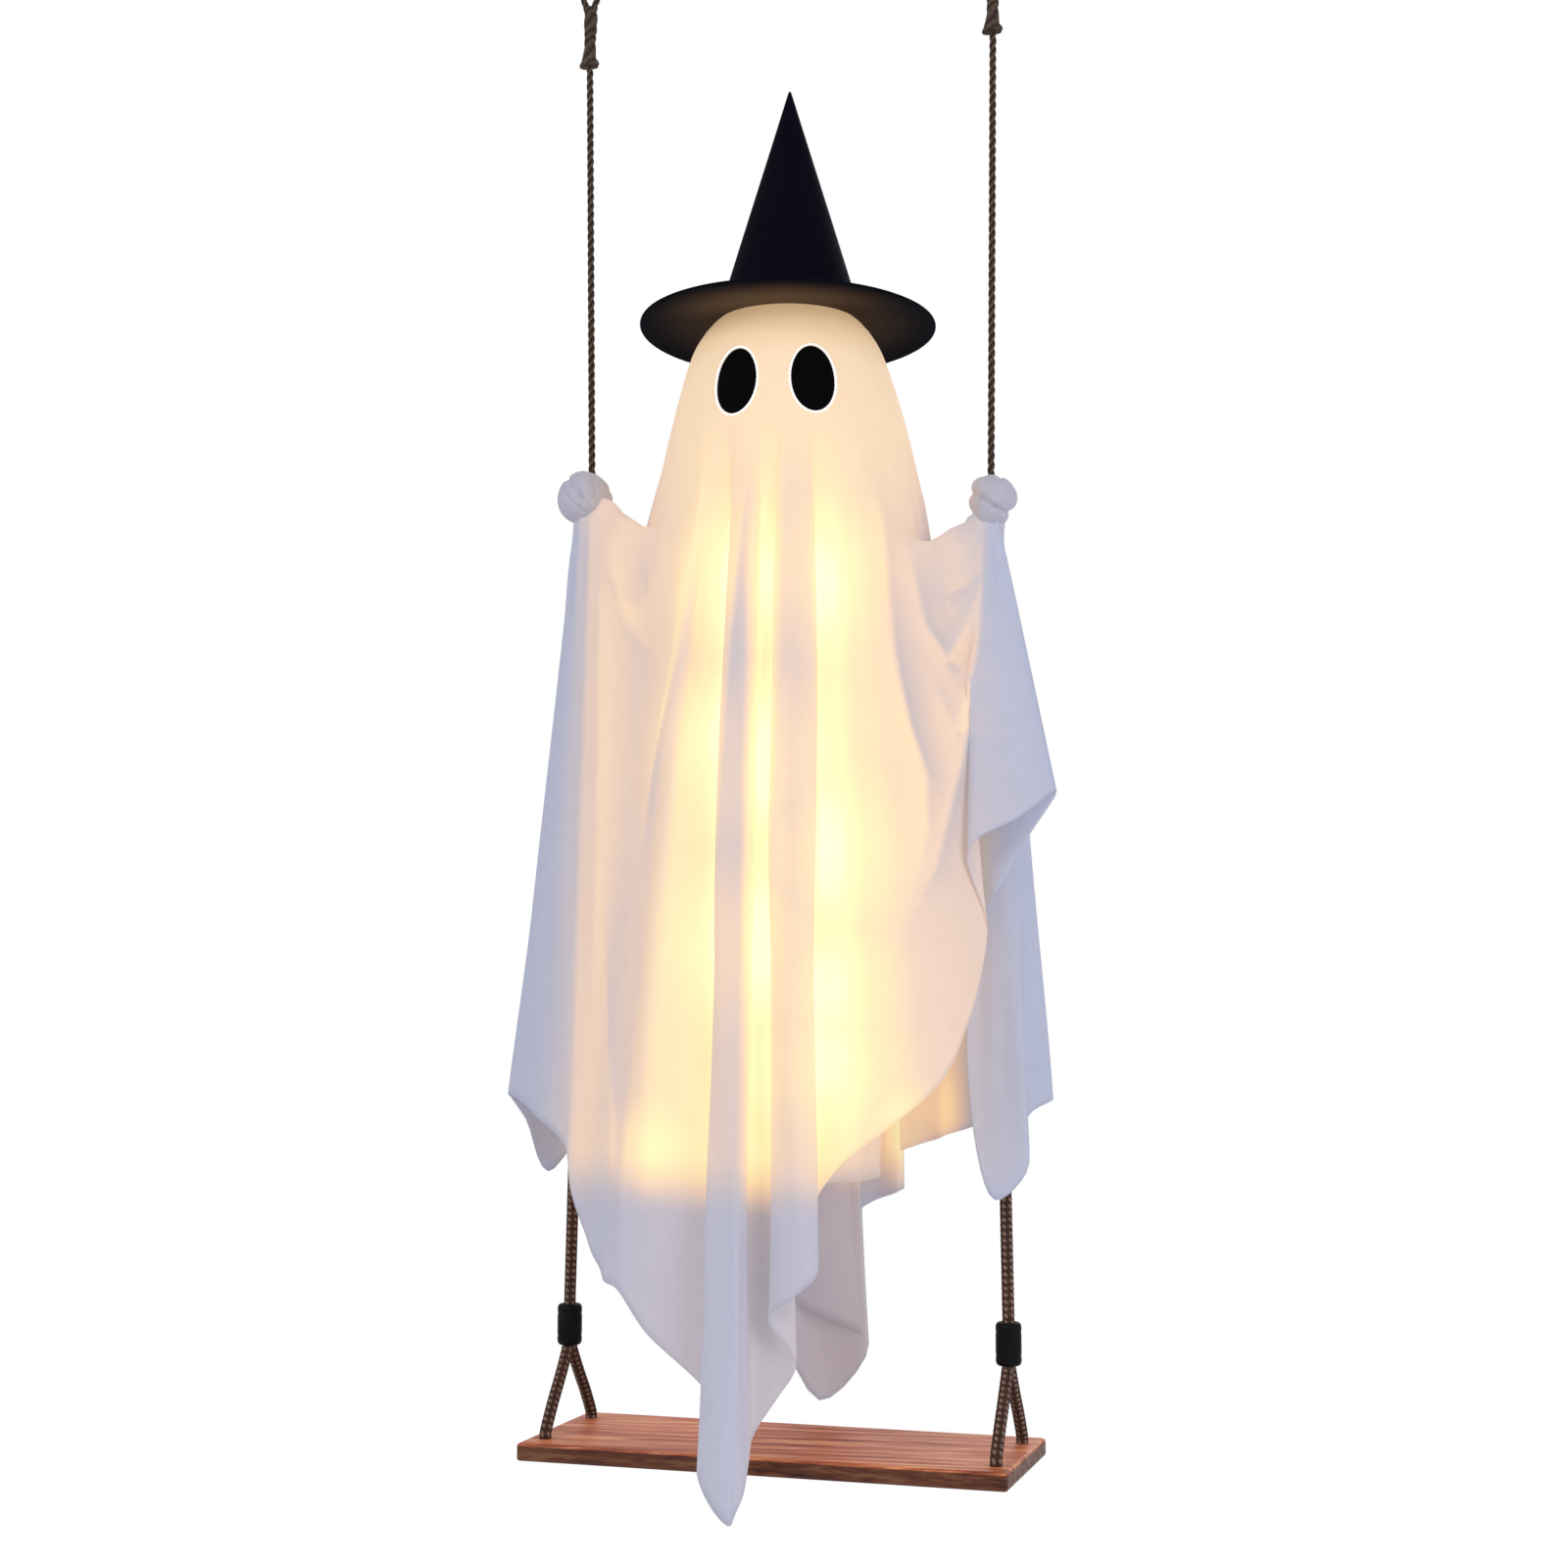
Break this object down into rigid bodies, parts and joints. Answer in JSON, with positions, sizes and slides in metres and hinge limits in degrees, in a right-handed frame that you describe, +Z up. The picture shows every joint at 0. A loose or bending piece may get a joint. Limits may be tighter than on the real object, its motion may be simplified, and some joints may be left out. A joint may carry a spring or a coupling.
{
  "type": "hanging fabric ghost",
  "caption": "Cloth ghost with a pointed felt hat and oval eyes, lit from inside, holding the ropes that carry a wooden swing seat.",
  "frame": {"origin": "midway between the two hanging loops, at the height where the hooks bear on them", "axes": "+Z up, -Y the way that the ghost looks, +X to the viewer's right, from the left loop to the right loop"},
  "size_m": [0.474, 0.2779, 1.3578],
  "materials": {
    "black_felt": "matt felt",
    "white_cloth": "thin crinkled cotton",
    "lining_cloth": "thin cotton",
    "translucent_plastic": "moulded, translucent",
    "black_plastic": "moulded, satin",
    "galvanised_steel": "galvanised wire",
    "jute": "twisted natural fibre",
    "brown_braid": "braided cord",
    "stained_wood": "red-brown stain, satin"
  },
  "bodies": {
    "root": {"hat_crown": "black_felt", "hat_brim": "black_felt", "head_shell": "translucent_plastic", "neck_plate": "translucent_plastic", "neck_post": "translucent_plastic", "arm_wire": "galvanised_steel", "battery_box": "black_plastic", "battery_lid": "black_plastic", "lining": "lining_cloth", "light_string": "black_plastic", "drape": "white_cloth", "left_eye": "black_felt", "right_eye": "black_felt", "left_hand": "white_cloth", "right_hand": "white_cloth", "left_knot": "jute", "right_knot": "jute", "left_upper_rope": "jute", "right_upper_rope": "jute", "left_lower_rope": "brown_braid", "right_lower_rope": "brown_braid", "left_ferrule": "black_plastic", "right_ferrule": "black_plastic", "left_yoke": "brown_braid", "right_yoke": "brown_braid", "seat": "stained_wood"}
  },
  "joints": []
}
